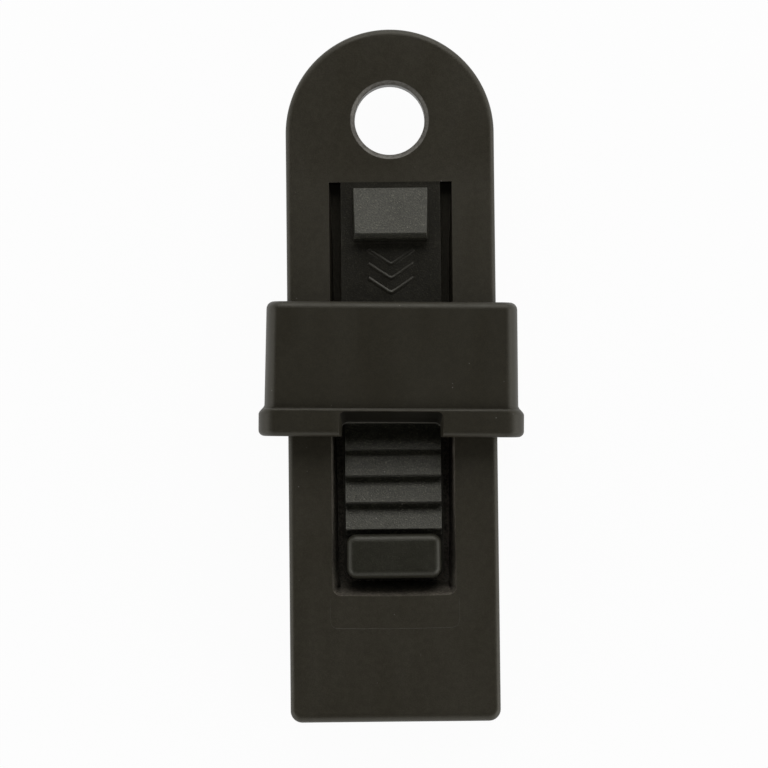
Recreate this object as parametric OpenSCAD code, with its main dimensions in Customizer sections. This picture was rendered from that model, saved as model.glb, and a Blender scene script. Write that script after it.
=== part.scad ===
// Tarp clip with two sprung jaws, a latch tongue and a sliding lock collar.
// Millimetres. The origin is the middle of the eyelet. +X runs across the clip, +Y to
// the round end of the head, -Y to the mouth, and +Z to the side with the button.
// A reach is a distance along -Y from the axis of the eyelet. The jaws are drawn as the
// collar holds them at its fifth tooth from the front, a little way open.

/* [Head and eyelet] */
// Width of the head and of both jaws
body_w = 34.8; // [32:0.1:40]
// Thickness of the head
head_t = 9; // [8:0.1:10]
// Bore of the eyelet
eyelet_d = 11.7; // [8:0.1:13]
// Rounding of the eyelet's two rims
eyelet_edge_r = 0.65; // [0.2:0.05:1]
// From the eyelet's axis to the round end of the head
head_setback = 15.1; // [12:0.1:17]
// Rounding along the long edges of the head and jaws
edge_r = 0.7; // [0.2:0.05:1.2]

/* [Jaw flexures] */
// From the eyelet's axis to the end of the stiff head
root_reach = 7.6; // [7.2:0.1:9]
// Length of the thin web that lets each jaw bend
flexure_l = 2.8; // [2:0.1:4]
// Thickness of that web
flexure_t = 2.6; // [1.4:0.1:3]

/* [Jaws] */
// From the eyelet's axis to the mouth end of the jaws
jaw_reach = 100.1; // [98:0.1:110]
// Gap between the inner faces of the closed jaws
jaw_gap = 1; // [0.6:0.05:1.4]
// Corner rounding of the mouth end, seen from above
mouth_corner_r = 1.6; // [0.5:0.1:3]
// Rounding of the outer edge of the mouth
mouth_edge_r = 1.4; // [0.5:0.1:2.5]

/* [Mouth teeth] */
// Gap between the closed jaws where the teeth stand
grip_gap = 6.4; // [5:0.1:7]
// Gap between the tips of the closed teeth
grip_tip_gap = 0.2; // [0.1:0.05:0.6]
// Rows of teeth in the upper jaw, one more than in the lower jaw
grip_rows = 4; // [3:1:6]
// Thickness of the pad that the teeth stand on
grip_pad_t = 0.6; // [0.4:0.1:1]
// Flat on the tip of each tooth
grip_tip_l = 0.7; // [0.3:0.1:1]
// Wall between the teeth and the latch pocket
grip_wall_t = 1.5; // [1:0.1:3]

/* [Cores in the lower jaw] */
// Cores across the lower jaw
core_cols = 3; // [2:1:3]
// Cores along the lower jaw
core_rows = 4; // [3:1:5]
// Thickness of the ribs between them
rib_t = 1.6; // [1.2:0.1:2.4]
// Side wall of the cored jaw
side_wall_t = 2.6; // [2:0.1:4]
// Depth of the cores
core_depth = 3; // [1:0.1:3.4]
// From the eyelet's axis to the first core
core_reach = 34; // [30:0.5:40]

/* [Latch pocket] */
// From the mouth end of the jaws back to the pocket
pocket_setback = 20.9; // [16:0.1:22]
// Slot beside the tongue
slot_w = 1.95; // [1.2:0.05:2.4]
// Corner rounding of the pocket's end
pocket_corner_r = 0.8; // [0.2:0.1:1.5]
// Gap under the tongue's root
pocket_root_gap = 0.6; // [0.4:0.1:0.8]

/* [Latch tongue] */
// Width of the tongue
tongue_w = 16.6; // [15.8:0.1:18]
// Thickness of the tongue where it bends
tongue_root_t = 2; // [1.2:0.1:2.2]
// Thickness of the tongue from its face to its underside
tongue_t = 3.5; // [3.2:0.05:3.55]
// Gap between the tongue's free end and the end of the pocket
tongue_end_gap = 2.95; // [1.5:0.05:4]
// Length of the part that bends
tongue_flexure_l = 6.4; // [4:0.1:8]
// Length over which the tongue thickens behind the bend
tongue_swell_l = 6; // [4:0.1:7]
// How far the tongue can be pressed, in degrees
press_angle = 3.8; // [3.6:0.1:3.9]

/* [Collar stop] */
// Width of the ramp that stops the collar
stop_w = 12.3; // [8:0.1:14]
// Height of the ramp
stop_h = 3.2; // [2.8:0.1:4]
// Length of the ramp's slope
stop_slope_l = 7.95; // [6:0.05:8]
// Length of the bevel beyond the ramp's crest
stop_bevel_l = 1.05; // [0.5:0.05:1.2]
// Drop of that bevel
stop_bevel_h = 0.9; // [0.3:0.1:1.2]
// Flat between the slots' ends and the foot of the ramp
stop_setback = 0.8; // [0.4:0.1:1.5]
// Flat between the ramp and the part that bends
stop_toe_l = 0.4; // [0.2:0.1:1]

/* [Ratchet] */
// Distance between ratchet teeth
tooth_pitch = 4.46; // [4:0.02:4.6]
// Tooth that the collar's pawl holds, counted back from the one that shuts the mouth
held_tooth = 5; // [3:1:5]
// Height of a tooth
tooth_h = 1.5; // [1.2:0.05:1.55]
// Web under the teeth
tooth_base_t = 0.3; // [0.2:0.05:0.4]
// Width of the row of teeth
rack_w = 15.95; // [14:0.05:16.4]
// Least flat between the last tooth and the button
rack_end_l = 0.7; // [0.4:0.05:0.7]
// Flat before the first tooth
rack_start_l = 1.5; // [0.5:0.1:2]

/* [Release button] */
// Width of the button
button_w = 15.65; // [12:0.05:16.2]
// Length of the button
button_l = 7.2; // [5:0.1:7.6]
// Height of the button above the jaw's face
button_rise = 1.2; // [0.5:0.1:2]
// Corner rounding of the button
button_corner_r = 1.1; // [0.95:0.05:2]
// Rounding of the button's upper edge
button_edge_r = 0.9; // [0.3:0.05:0.9]

/* [Collar] */
// How far the collar can slide back to the ramp
travel_open = 10; // [8:0.1:10]
// Length of the collar's sleeve
sleeve_l = 17.8; // [14:0.1:19]
// Length of the flange at its mouth side
flange_l = 4.6; // [4.4:0.1:6]
// How far the flange stands out
flange_rise = 0.95; // [0.5:0.05:1.4]
// Side wall of the sleeve
collar_wall_t = 3.35; // [2.5:0.05:4.5]
// Height of the passage through the collar, at the flange
passage_h = 18.8; // [18.2:0.1:19]
// Slope of the passage's floor and roof, in degrees
passage_taper = 5; // [4:0.1:5.2]
// Draft on the outside of the sleeve, in degrees
collar_draft = 0.8; // [0:0.1:1.5]
// Rounding of the sleeve's long edges
sleeve_edge_r = 1.5; // [0.5:0.1:2.5]
// Rounding of the edges of the sleeve's head side
sleeve_rim_r = 0.9; // [0.3:0.1:2]
// Rounding of the flange's rims
flange_rim_r = 0.7; // [0.2:0.1:1.5]

/* [Notch and pawl] */
// Width of the notch at the flange's outer face
notch_w = 17.3; // [17:0.1:20]
// How much narrower the notch is at its inner end
notch_draft_w = 0.9; // [0.2:0.1:1]
// Length of the notch at the flange's outer face
notch_l = 4.1; // [3.4:0.1:4.2]
// From the flange's front to the tip of the pawl
pawl_lip_l = 2.24; // [1.8:0.02:3]
// Width of the pawl
pawl_w = 15.6; // [12:0.1:16]

/* [Clearances] */
// Between the collar's passage and the jaws' outer faces
jaw_clearance = 0.25; // [0.2:0.05:0.4]
// Between the collar's passage and the jaws' sides
side_clearance = 0.35; // [0.2:0.05:0.6]
// Between the pawl and the tooth that it holds
pawl_clearance = 0.22; // [0.15:0.01:0.35]
// Between the pressed tongue and the pocket's floor
floor_clearance = 0.2; // [0.1:0.05:0.3]
// Between the collar and the ramp when the collar is right back
stop_clearance = 0.1; // [0.05:0.05:0.4]

/* [Hidden] */
$fn = 96;

// Overrun of every cut
over = 1;
// Straight pieces in a quarter round of an outline
arc_steps = 6;
// Share of the pitch that the foot of a mouth tooth takes up
grip_foot_share = 0.84;

// Places along the body
jaw_root = root_reach + flexure_l;
hinge_reach = root_reach + flexure_l / 2;
arc_centre = head_setback - body_w / 2;
pocket_w = tongue_w + 2 * slot_w;
pocket_reach = jaw_reach - pocket_setback;
grip_start = pocket_reach + grip_wall_t;
grip_pitch = (jaw_reach - grip_start) / grip_rows;

// Places along the tongue's root
stop_foot = jaw_root + stop_setback;
stop_crest = stop_foot + stop_slope_l;
stop_face = stop_crest + stop_bevel_l;
stop_end = stop_face + stop_toe_l;
tongue_start = stop_end + tongue_flexure_l;
tongue_full = tongue_start + tongue_swell_l;
tongue_hinge = (stop_end + tongue_start) / 2;

// Places along the collar, and how far it slides to shut the mouth
collar_back = stop_face + stop_clearance + travel_open;
flange_back = collar_back + sleeve_l;
collar_front = flange_back + flange_l;
pawl_tip = collar_front - pawl_lip_l;
held_ridge = pawl_tip - tooth_pitch;
travel_close = (held_tooth - 1) * tooth_pitch;

// Places along the rest of the tongue, with as many teeth as there is room for
tongue_end = pocket_reach - tongue_end_gap;
button_start = tongue_end - button_l;
teeth_ahead = floor((button_start - rack_end_l - held_ridge) / tooth_pitch);
teeth_behind = floor((held_ridge - rack_start_l - tongue_full) / tooth_pitch);
tooth_count = teeth_behind + teeth_ahead;
last_ridge = held_ridge + teeth_ahead * tooth_pitch;
rack_start = held_ridge - teeth_behind * tooth_pitch - rack_start_l;
rack_floor = tooth_h + tooth_base_t;

// Slope of each jaw's outer face, as the collar holds it
face_rise = passage_h / 2 - jaw_clearance - head_t / 2;
face_slope = atan(face_rise / (collar_front - hinge_reach));
// Turn of a jaw for each millimetre of collar travel, in radians
jaw_ratio = tan(face_slope) / (collar_front - hinge_reach + travel_close - travel_open);
// How far the collar still has to turn each jaw to close the mouth
open_angle = jaw_ratio * travel_close * 180 / PI;

// Outside of the collar: the flange stands level with the jaws' tips
flange_h = 2 * tip_z();
sleeve_h = flange_h - 2 * flange_rise;
passage_w = body_w + 2 * side_clearance;
sleeve_w = passage_w + 2 * collar_wall_t;
flange_w = sleeve_w + 2 * flange_rise;
flange_edge_r = sleeve_edge_r + flange_rise / 2;

// Height of the upper jaw's outer face at a reach
function face_z(d) = head_t / 2 + (d - hinge_reach) * tan(face_slope);
// Point of the side view at a reach along that face and a height over it
function face_pt(d, w) = [-d + w * sin(face_slope), face_z(d) + w * cos(face_slope)];
// Point of the side view at a reach, h above the mid-plane when the jaws are closed
function inner_pt(d, h) = [-d, h + (d - hinge_reach) * tan(open_angle)];
// Height of the upper jaw's tip, over its rounded edge
function tip_z() =
    face_z(jaw_reach - mouth_edge_r) + mouth_edge_r * (1 - 1 / cos(face_slope));
// Depth of the latch pocket at a reach, clear of the pressed tongue
function pocket_depth(d) = tongue_t + (d - tongue_hinge) * tan(press_angle) + floor_clearance;
// Half height of the collar's passage at a reach
function passage_z(d) = passage_h / 2 - (collar_front - d) * tan(passage_taper);
// Reach of a ratchet tooth's ridge, counted from the head side
function ridge(i) = last_ridge - (tooth_count - 1 - i) * tooth_pitch;
// Points of an arc from angle a to angle b
function arc(centre, r, a, b) = [
    for (i = [0 : arc_steps])
        let (t = a + (b - a) * i / arc_steps)
            centre + r * [cos(t), sin(t)]
];
// Rounded corner of an outline, or a sharp one where the radius is zero
function corner(centre, r, a, b) = r > 0 ? arc(centre, r, a, b) : [centre];
// Points along the mouth end of the outer face, where its edge is rounded
function mouth_edge() =
    arc([-jaw_reach + mouth_edge_r, tip_z() - mouth_edge_r], mouth_edge_r, 90 - face_slope, 180);

// Solid that carries a side view across the clip
module across(w) {
    rotate([90, 0, 90])
        linear_extrude(w, center = true)
            children();
}

// Solid that carries a front view along the clip, from one reach to another
module along(d0, d1) {
    translate([0, -d0, 0])
        rotate([90, 0, 0])
            linear_extrude(d1 - d0)
                children();
}

// Places its children on the upper jaw's outer face at a reach
module on_face(d) {
    translate([0, -d, face_z(d)])
        rotate([-face_slope, 0, 0])
            children();
}

// Rectangle with rounded corners, centred
module rounded_rect(w, h, r) {
    square([w - 2 * r, h], center = true);
    square([w, h - 2 * r], center = true);
    for (x = [-1, 1], y = [-1, 1])
        translate([x * (w / 2 - r), y * (h / 2 - r)])
            circle(r);
}

// Eyelet bore with rounded rims
module eyelet_cut() {
    r = eyelet_d / 2;
    flare = r + eyelet_edge_r;
    z = head_t / 2;
    lower_rim = arc([flare, -z + eyelet_edge_r], eyelet_edge_r, 270, 180);
    upper_rim = arc([flare, z - eyelet_edge_r], eyelet_edge_r, 180, 90);
    outline = concat(
        [[0, -z - over], [flare, -z - over]], lower_rim,
        upper_rim, [[flare, z + over], [0, z + over]]
    );
    rotate_extrude()
        polygon(outline);
}

// Round end of the head, with rounded rims
module head_disc() {
    r = body_w / 2;
    z = head_t / 2;
    outline = concat(
        [[0, -z]], arc([r - edge_r, -z + edge_r], edge_r, -90, 0),
        arc([r - edge_r, z - edge_r], edge_r, 0, 90), [[0, z]]
    );
    translate([0, arc_centre, 0])
        rotate_extrude()
            polygon(outline);
}

// Side view of a jaw, with the pocket for the mouth teeth
module jaw_side() {
    root_depth = (face_z(jaw_root) - inner_pt(jaw_root, jaw_gap / 2)[1]) / cos(face_slope);
    polygon(concat(
        [face_pt(jaw_root, -root_depth), face_pt(jaw_root, 0)],
        mouth_edge(),
        [
            inner_pt(jaw_reach, grip_gap / 2),
            inner_pt(grip_start, grip_gap / 2),
            inner_pt(grip_start, jaw_gap / 2)
        ]
    ));
}

// Outline from above, out to a reach, with its two far corners rounded
module end_plan(w, reach, r) {
    l = reach - root_reach;
    translate([-w / 2, -reach + r])
        square([w, l - r]);
    translate([-w / 2 + r, -reach])
        square([w - 2 * r, l]);
    for (x = [-1, 1])
        translate([x * (w / 2 - r), -reach + r])
            circle(r);
}

// Jaw without pockets or cores
module jaw_blank() {
    tall = 2 * face_z(jaw_reach);
    intersection() {
        across(body_w)
            jaw_side();
        linear_extrude(tall)
            end_plan(body_w, jaw_reach, mouth_corner_r);
        on_face(root_reach)
            along(0, 2 * jaw_reach)
                translate([0, -tall / 2])
                    rounded_rect(body_w, tall, edge_r);
    }
}

// Pocket that the latch tongue lies in
module latch_pocket() {
    root_depth = tongue_root_t + pocket_root_gap;
    side = [
        face_pt(root_reach, over), face_pt(root_reach, -root_depth),
        face_pt(jaw_root, -root_depth), face_pt(tongue_full, -pocket_depth(tongue_full)),
        face_pt(pocket_reach, -pocket_depth(pocket_reach)), face_pt(pocket_reach, over)
    ];
    intersection() {
        across(pocket_w)
            polygon(side);
        linear_extrude(2 * face_z(jaw_reach))
            end_plan(pocket_w, pocket_reach, pocket_corner_r);
    }
}

// Cores that lighten the lower jaw, opening to the mouth's side
module jaw_cores() {
    zone_l = grip_start - grip_wall_t - core_reach;
    l = (zone_l - (core_rows - 1) * rib_t) / core_rows;
    w = (body_w - 2 * side_wall_t - (core_cols - 1) * rib_t) / core_cols;
    for (row = [0 : core_rows - 1], col = [0 : core_cols - 1]) {
        d = core_reach + row * (l + rib_t);
        translate([(col - (core_cols - 1) / 2) * (w + rib_t), 0, 0])
            across(w)
                polygon([
                    inner_pt(d, -over), inner_pt(d + l, -over),
                    inner_pt(d + l, jaw_gap / 2 + core_depth),
                    inner_pt(d, jaw_gap / 2 + core_depth)
                ]);
    }
}

// Thin web between the head and a jaw
module flexure_web() {
    z = head_t / 2;
    intersection() {
        across(body_w)
            polygon([
                [-root_reach, z - flexure_t], [-root_reach, z], [-hinge_reach, z],
                face_pt(jaw_root, 0), face_pt(jaw_root, -flexure_t)
            ]);
        along(root_reach - over, jaw_root + over)
            rounded_rect(body_w, 2 * face_z(jaw_root), edge_r);
    }
}

// Rows of teeth across the mouth on their pad, the first row at a reach
module grip_rows_at(first, rows) {
    floor_h = grip_gap / 2;
    foot_h = floor_h - grip_pad_t;
    tip_h = grip_tip_gap / 2;
    foot = grip_foot_share * grip_pitch / 2;
    tip = grip_tip_l / 2;
    teeth = [
        for (i = [0 : rows - 1])
            let (d = first + i * grip_pitch)
                each [
                    inner_pt(d - foot, foot_h), inner_pt(d - tip, tip_h),
                    inner_pt(d + tip, tip_h), inner_pt(d + foot, foot_h)
                ]
    ];
    intersection() {
        across(body_w)
            polygon(concat(
                [inner_pt(grip_start, floor_h), inner_pt(grip_start, foot_h)],
                teeth,
                [inner_pt(jaw_reach, foot_h), inner_pt(jaw_reach, floor_h)]
            ));
        linear_extrude(2 * face_z(jaw_reach))
            end_plan(body_w, jaw_reach, mouth_corner_r);
    }
}

// Side view of the ramp that stops the collar
module stop_side() {
    polygon([
        face_pt(stop_foot, -tongue_root_t / 2), face_pt(stop_foot, 0),
        face_pt(stop_crest, stop_h), face_pt(stop_face, stop_h - stop_bevel_h),
        face_pt(stop_face, -tongue_root_t / 2)
    ]);
}

// Outline of a block along the clip, from its half width at the front and at the back
function block_outline(front, back, d_front, d_back, r_front, r_back) = concat(
    corner([front - r_front, -d_front + r_front], r_front, -90, 0),
    corner([back - r_back, -d_back - r_back], r_back, 0, 90),
    corner([-back + r_back, -d_back - r_back], r_back, 90, 180),
    corner([-front + r_front, -d_front + r_front], r_front, 180, 270)
);

// Outside of the sleeve
module sleeve_block() {
    inset = sleeve_l * tan(collar_draft);
    plan = block_outline(sleeve_w / 2, sleeve_w / 2 - inset,
        flange_back, collar_back, 0, sleeve_rim_r);
    side = block_outline(sleeve_h / 2, sleeve_h / 2 - inset,
        flange_back, collar_back, 0, sleeve_rim_r);
    intersection() {
        linear_extrude(flange_h, center = true)
            polygon(plan);
        across(flange_w)
            polygon([for (p = side) [p[1], p[0]]]);
        along(collar_back, flange_back)
            rounded_rect(sleeve_w, sleeve_h, sleeve_edge_r);
    }
}

// Outside of the flange
module flange_block() {
    plan = block_outline(flange_w / 2, flange_w / 2,
        collar_front, flange_back, flange_rim_r, flange_rim_r);
    side = block_outline(flange_h / 2, flange_h / 2,
        collar_front, flange_back, flange_rim_r, flange_rim_r);
    intersection() {
        linear_extrude(flange_h, center = true)
            polygon(plan);
        across(flange_w)
            polygon([for (p = side) [p[1], p[0]]]);
        along(flange_back, collar_front)
            rounded_rect(flange_w, flange_h, flange_edge_r);
    }
}

// Passage through the collar
module passage() {
    d0 = collar_back - over;
    d1 = collar_front + over;
    across(passage_w)
        polygon([
            [-d0, -passage_z(d0)], [-d1, -passage_z(d1)],
            [-d1, passage_z(d1)], [-d0, passage_z(d0)]
        ]);
}

// Notch in the flange, over the ratchet teeth
module flange_notch() {
    top = flange_h / 2;
    low = passage_z(pawl_tip);
    side = [
        [-collar_front + notch_l, top], [-collar_front + notch_l, top + over],
        [-collar_front - over, top + over], [-collar_front - over, low - over],
        [-pawl_tip, low - over], [-pawl_tip, low]
    ];
    intersection() {
        across(notch_w + over)
            polygon(side);
        along(collar_back, collar_front + over)
            polygon([
                [-notch_w / 2, top + over], [notch_w / 2, top + over], [notch_w / 2, top],
                [notch_w / 2 - notch_draft_w / 2, low],
                [notch_w / 2 - notch_draft_w / 2, low - over],
                [-notch_w / 2 + notch_draft_w / 2, low - over],
                [-notch_w / 2 + notch_draft_w / 2, low], [-notch_w / 2, top]
            ]);
    }
}

module eyelet_head() {
    color([0.18, 0.17, 0.15])
        difference() {
            union() {
                intersection() {
                    head_disc();
                    translate([-body_w, arc_centre, -head_t])
                        cube([2 * body_w, body_w, 2 * head_t]);
                }
                along(-arc_centre, root_reach)
                    rounded_rect(body_w, head_t, edge_r);
            }
            eyelet_cut();
        }
}

module upper_flexure() {
    color([0.2, 0.19, 0.17])
        flexure_web();
}

module lower_flexure() {
    color([0.2, 0.19, 0.17])
        mirror([0, 0, 1])
            flexure_web();
}

module upper_jaw() {
    color([0.18, 0.17, 0.15])
        difference() {
            jaw_blank();
            latch_pocket();
        }
}

module lower_jaw() {
    color([0.18, 0.17, 0.15])
        mirror([0, 0, 1])
            difference() {
                jaw_blank();
                jaw_cores();
            }
}

module upper_grip_teeth() {
    color([0.22, 0.21, 0.19])
        grip_rows_at(grip_start + grip_pitch / 2, grip_rows);
}

module lower_grip_teeth() {
    color([0.22, 0.21, 0.19])
        mirror([0, 0, 1])
            grip_rows_at(grip_start + grip_pitch, grip_rows - 1);
}

module collar_stop() {
    color([0.28, 0.28, 0.26]) {
        across(tongue_w)
            polygon([
                face_pt(jaw_root, 0), face_pt(jaw_root, -tongue_root_t),
                face_pt(stop_end, -tongue_root_t), face_pt(stop_end, 0)
            ]);
        across(stop_w)
            stop_side();
    }
}

module tongue_flexure() {
    color([0.2, 0.19, 0.17])
        across(tongue_w)
            polygon([
                face_pt(stop_end, 0), face_pt(stop_end, -tongue_root_t),
                face_pt(tongue_start, -tongue_root_t), face_pt(tongue_start, 0)
            ]);
}

module latch_tongue() {
    color([0.18, 0.17, 0.15])
        across(tongue_w)
            polygon([
                face_pt(tongue_start, 0), face_pt(tongue_start, -tongue_root_t),
                face_pt(tongue_full, -tongue_t), face_pt(tongue_end, -tongue_t),
                face_pt(tongue_end, -rack_floor), face_pt(rack_start, -rack_floor),
                face_pt(rack_start, 0)
            ]);
}

module ratchet_teeth() {
    teeth = [
        for (i = [0 : tooth_count - 1])
            each [face_pt(ridge(i), 0), face_pt(ridge(i), -tooth_h)]
    ];
    color([0.26, 0.26, 0.23])
        across(rack_w)
            polygon(concat(
                [
                    face_pt(rack_start, -rack_floor), face_pt(rack_start, -tooth_h),
                    face_pt(ridge(0) - tooth_pitch, -tooth_h)
                ],
                teeth,
                [face_pt(button_start, -tooth_h), face_pt(button_start, -rack_floor)]
            ));
}

// Upright outline with its two upper corners rounded, from a floor to a roof
function domed(w, low, high, r) = concat(
    [[-w / 2, low], [w / 2, low]],
    arc([w / 2 - r, high - r], r, 0, 90), arc([-w / 2 + r, high - r], r, 90, 180)
);

module release_button() {
    l = button_l / cos(face_slope);
    color([0.2, 0.19, 0.17])
        on_face((button_start + tongue_end) / 2)
            intersection() {
                linear_extrude(2 * (rack_floor + button_rise), center = true)
                    rounded_rect(button_w, l, button_corner_r);
                across(button_w)
                    polygon(domed(l, -rack_floor, button_rise, button_edge_r));
                along(-l / 2, l / 2)
                    polygon(domed(button_w, -rack_floor, button_rise, button_edge_r));
            }
}

module collar_sleeve() {
    color([0.18, 0.17, 0.15])
        difference() {
            sleeve_block();
            passage();
        }
}

module collar_flange() {
    color([0.2, 0.19, 0.17])
        difference() {
            flange_block();
            passage();
            flange_notch();
        }
}

module collar_pawl() {
    back = held_ridge + pawl_clearance;
    rise = tooth_h / tooth_pitch;
    color([0.26, 0.26, 0.23])
        intersection() {
            across(pawl_w)
                polygon([
                    face_pt(back, over),
                    face_pt(back, -tooth_h + rise * (back - held_ridge) + pawl_clearance),
                    face_pt(pawl_tip, pawl_clearance),
                    face_pt(pawl_tip, over)
                ]);
            passage();
        }
}

eyelet_head();
upper_flexure();
lower_flexure();
upper_jaw();
lower_jaw();
upper_grip_teeth();
lower_grip_teeth();
collar_stop();
tongue_flexure();
latch_tongue();
ratchet_teeth();
release_button();
collar_sleeve();
collar_flange();
collar_pawl();
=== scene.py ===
"""Tarp clip: a body moulding with two sprung jaws and a latch tongue, and its lock collar.

Sizes are in millimetres until a mesh is made. The origin is the middle of the eyelet,
+X runs across the clip, +Y to the round end of the head and +Z to the button's side.
A reach is a distance along -Y from the eyelet. On the sloping upper face a point is given
by its reach and its height over that face.
"""

import bmesh
import bpy
import numpy as np
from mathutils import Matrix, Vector


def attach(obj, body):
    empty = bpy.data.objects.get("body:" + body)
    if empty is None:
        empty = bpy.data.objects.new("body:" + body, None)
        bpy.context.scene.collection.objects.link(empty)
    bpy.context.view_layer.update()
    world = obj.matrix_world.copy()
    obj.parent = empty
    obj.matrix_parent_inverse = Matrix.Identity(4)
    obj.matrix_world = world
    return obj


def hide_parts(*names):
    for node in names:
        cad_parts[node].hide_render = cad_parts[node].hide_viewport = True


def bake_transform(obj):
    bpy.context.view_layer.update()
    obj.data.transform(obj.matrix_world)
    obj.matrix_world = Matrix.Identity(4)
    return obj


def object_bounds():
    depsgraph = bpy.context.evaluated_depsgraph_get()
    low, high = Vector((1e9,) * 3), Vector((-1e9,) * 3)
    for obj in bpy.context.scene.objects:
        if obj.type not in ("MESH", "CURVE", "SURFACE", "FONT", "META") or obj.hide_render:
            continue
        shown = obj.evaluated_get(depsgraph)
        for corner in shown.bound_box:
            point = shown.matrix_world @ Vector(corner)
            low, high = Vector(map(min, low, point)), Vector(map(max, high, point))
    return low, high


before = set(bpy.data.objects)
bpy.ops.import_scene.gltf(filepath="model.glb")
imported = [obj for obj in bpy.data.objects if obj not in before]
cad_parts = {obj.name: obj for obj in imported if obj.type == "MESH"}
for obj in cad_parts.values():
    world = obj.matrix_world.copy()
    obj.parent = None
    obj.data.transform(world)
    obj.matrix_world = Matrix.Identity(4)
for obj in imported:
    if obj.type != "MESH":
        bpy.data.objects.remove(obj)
cad_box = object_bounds()

MM = 0.001

# Points this close become one, edges this short go, and this near a plane counts as on it
MERGE_GAP = 0.002
SHORT_EDGE = 0.0005
TOUCH = 0.01

# Body moulding
BODY_W = 34.8
HEAD_T = 9.0
EYELET_R = 5.85
EYELET_RIM_W = 0.74
EYELET_RIM_H = 0.68
ARC_CENTRE = -2.3
EDGE_R = 1.0
ROOT_REACH = 7.6
JAW_ROOT = 10.4
HINGE_REACH = 9.0
BEND_L = 8.0
WEB_T = 2.6
WEB_FILLET_R = 0.6
JAW_REACH = 100.1
MOUTH_CORNER_R = 1.95
MOUTH_EDGE_R = 1.4
FACE_SLOPE = np.radians(6.07384)
OPEN_ANGLE = np.radians(2.1103)

# Mouth
JAW_GAP = 1.0
GRIP_GAP = 6.4
GRIP_START = 80.7
GRIP_ROWS = 4
GRIP_PITCH = (JAW_REACH - GRIP_START) / GRIP_ROWS
GRIP_PAD_T = 0.6
GRIP_TIP_GAP = 0.2
GRIP_TIP_L = 0.7
GRIP_FOOT_SHARE = 0.84
GRIP_END_IN = 0.12
GRIP_SIDE_IN = 0.25
GRIP_EDGE_R = 0.12

# Cores in the lower jaw
CORE_REACH = 34.0
CORE_COLS = 3
CORE_ROWS = 4
CORE_RIB_T = 1.6
CORE_WALL_T = 2.6
CORE_DEPTH = 3.0
CORE_CORNER_R = 0.8
CORE_TO_GRIP = 1.5

# Latch pocket and tongue
POCKET_W = 20.5
POCKET_REACH = 79.2
POCKET_CORNER_R = 1.3
POCKET_EDGE_R = 0.22
POCKET_DRAFT_IN = 1.1
POCKET_END_IN = 2.2
POCKET_END_BOW = 0.12
TONGUE_W = 16.6
TONGUE_ROOT_T = 2.0
TONGUE_T = 3.5
TONGUE_START = 27.0
TONGUE_FULL = 33.0
TONGUE_END = 76.25
TONGUE_END_R = 2.0
TONGUE_HINGE = 23.8
PRESS_ANGLE = np.radians(3.8)
FLOOR_CLEARANCE = 0.2
POCKET_ROOT_GAP = 0.6

# Ramp that stops the collar
STOP_W = 12.5
STOP_FOOT = 11.4
STOP_CREST = 19.45
STOP_FACE = 20.2
STOP_END = 20.6
STOP_H = 3.2
STOP_BEVEL_H = 0.9
STOP_SIDE_DRAFT = 0.075
STOP_SUNK = 0.3
STOP_EDGE_R = 0.2

# Ratchet teeth and button
TOOTH_PITCH = 4.46
TOOTH_H = 1.5
TOOTH_HOLLOW = 0.1
TOOTH_HOLLOW_L = 1.1
TOOTH_RIDGE_R = 0.12
TOOTH_EDGE_R = 0.07
RACK_FLOOR = 1.8
RACK_W = 15.95
RACK_START = 35.58
FIRST_RIDGE = 41.54
TOOTH_COUNT = 7
BUTTON_START = 69.05
BUTTON_W = 15.65
BUTTON_RISE = 1.2
BUTTON_CORNER_R = 1.6
BUTTON_EDGE_R = 1.3

# Collar
COLLAR_FRONT = 52.7
FLANGE_BACK = 48.1
COLLAR_BACK = 30.3
SLEEVE_W = 42.2
SLEEVE_H = 26.17
FLANGE_W = 44.1
FLANGE_H = 28.07
COLLAR_DRAFT = np.radians(0.8)
SLEEVE_EDGE_R = 2.1
COLLAR_EDGE_H = 3.8
SLEEVE_RIM_R = 1.25
FLANGE_EDGE_R = 2.8
FLANGE_RIM_R = 1.0
FLANGE_BACK_R = 0.35
FLANGE_FLARE_L = 1.6
FLANGE_FOOT_R = 0.1
PASSAGE_W = 35.5
PASSAGE_H = 18.8
PASSAGE_CORNER_R = 0.4
PASSAGE_LEAD = 0.3
PASSAGE_TAPER = np.radians(5.0)
NOTCH_W = 17.3
NOTCH_DRAFT_W = 0.9
NOTCH_L = 4.2
NOTCH_CORNER_R = 1.0
NOTCH_LEDGE = 0.16
NOTCH_EDGE_R = 0.22
PAWL_TIP = 50.46
PAWL_W = 15.6
PAWL_SUNK = 0.3
PAWL_EDGE_R = 0.06
HELD_RIDGE = 46.0
PAWL_CLEARANCE = 0.22

# How the collar lies in its play: turned, and moved across and along
COLLAR_ASKEW = np.radians(-0.9)
COLLAR_OFF = np.array([-0.1, -0.2])

# Raised chevrons on the tongue
CHEVRON_TIP = 24.3
CHEVRON_PITCH = 2.4
CHEVRON_W = 7.6
CHEVRON_L = 2.6
CHEVRON_LINE = 0.8
CHEVRON_H = 0.17
CHEVRON_ROUND = 0.004

# Line of the mould's insert beyond the pocket, and the parting line round the head
INSERT_W = 21.4
INSERT_REACH = 84.6
INSERT_CORNER_R = 1.2
INSERT_LINE_W = 0.14
INSERT_LINE_H = 0.02
SEAM_W = 0.18
SEAM_H = 0.04

# Softening of edges that turn by more than so many degrees
SHARP_R = 0.14
SHARP_TURN = 30

# Edges this close to the join of the tongue and its root aren't softened
JOIN_L = 0.3


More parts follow.
